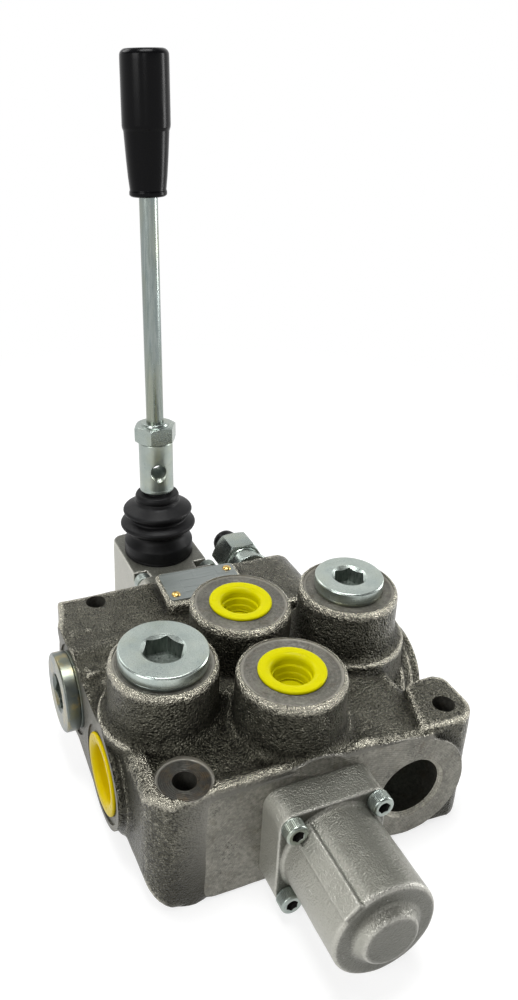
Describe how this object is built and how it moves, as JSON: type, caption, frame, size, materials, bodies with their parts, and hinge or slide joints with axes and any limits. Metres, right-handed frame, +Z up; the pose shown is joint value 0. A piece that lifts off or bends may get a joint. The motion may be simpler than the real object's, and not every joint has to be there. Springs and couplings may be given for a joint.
{
  "type": "hydraulic directional control valve",
  "caption": "Lever-operated sliding spool valve in a cast iron block, with threaded ports, plugs, a spring cap, a bellows boot and a relief valve.",
  "frame": {"origin": "on the bottom mounting face, below the spool axis, midway between the two work ports", "axes": "+X to the right seen from the spring cap, +Y along the spool towards the lever, +Z up out of the work ports"},
  "size_m": [0.178, 0.2939, 0.3326],
  "materials": {
    "cast_iron": "raw sand casting with milled faces",
    "cast_aluminium": "matte die casting",
    "zinc_steel": "bright zinc plate",
    "plain_steel": "ground steel",
    "yellow_plastic": "moulded, glossy",
    "black_rubber": "satin moulded rubber",
    "black_plastic": "polished phenolic",
    "plate_aluminium": "satin sheet",
    "brass": "polished"
  },
  "bodies": {
    "body": {"valve_body": "cast_iron", "spool_seals": "black_rubber", "spring_cap": "cast_aluminium", "cap_seal": "black_rubber", "cap_screws": "zinc_steel", "centering_spring": "plain_steel", "spring_cup_inner": "plain_steel", "lever_box": "cast_aluminium", "box_seal": "black_rubber", "box_screws": "zinc_steel", "pivot_pin": "plain_steel", "boot": "black_rubber", "inlet_plug": "zinc_steel", "inlet_plug_seal": "black_rubber", "outlet_plug": "zinc_steel", "outlet_plug_seal": "black_rubber", "check_plug": "zinc_steel", "check_plug_seal": "black_rubber", "check_spring": "plain_steel", "gallery_plug": "zinc_steel", "port_cap_a": "yellow_plastic", "port_cap_b": "yellow_plastic", "port_cap_p": "yellow_plastic", "port_cap_t": "yellow_plastic", "relief_body": "zinc_steel", "relief_seat": "plain_steel", "relief_spring": "plain_steel", "relief_adjuster": "plain_steel", "relief_lock_nut": "zinc_steel", "relief_dust_cap": "black_plastic", "name_plate": "plate_aluminium", "plate_rivets": "brass"},
    "spool": {"spool": "plain_steel", "spool_bolt": "zinc_steel", "spring_cup_outer": "plain_steel"},
    "lever": {"lever_arm": "plain_steel", "lever_hub": "zinc_steel", "hub_lock_nut": "zinc_steel", "lever_rod": "zinc_steel", "knob": "black_plastic"},
    "check_poppet": {"check_poppet": "plain_steel"},
    "relief_poppet": {"relief_poppet": "plain_steel"}
  },
  "joints": [
    {"name": "lever_tilt", "type": "hinge", "parent": "body", "child": "lever", "pos_m": [0, 0.144, 0.05], "axis": [1, 0, 0], "range_deg": [-20, 20], "stiffness_Nm_per_rad": 12, "deforming": ["boot"]},
    {"name": "spool_slide", "type": "slide", "parent": "body", "child": "spool", "axis": [0, 1, 0], "range_m": [-0.0075, 0.0075], "deforming": ["centering_spring"]},
    {"name": "check_lift", "type": "slide", "parent": "body", "child": "check_poppet", "axis": [-1, 0, 0], "range_m": [0, 0.005], "stiffness_N_per_m": 400, "springref_m": -0.004, "deforming": ["check_spring"]},
    {"name": "relief_lift", "type": "slide", "parent": "body", "child": "relief_poppet", "axis": [0, 1, 0], "range_m": [0, 0.003], "stiffness_N_per_m": 2000, "springref_m": -0.002, "deforming": ["relief_spring"]}
  ],
  "couplings": [
    {"joint": "spool_slide", "follows": "lever_tilt", "m_per_rad": 0.021}
  ]
}
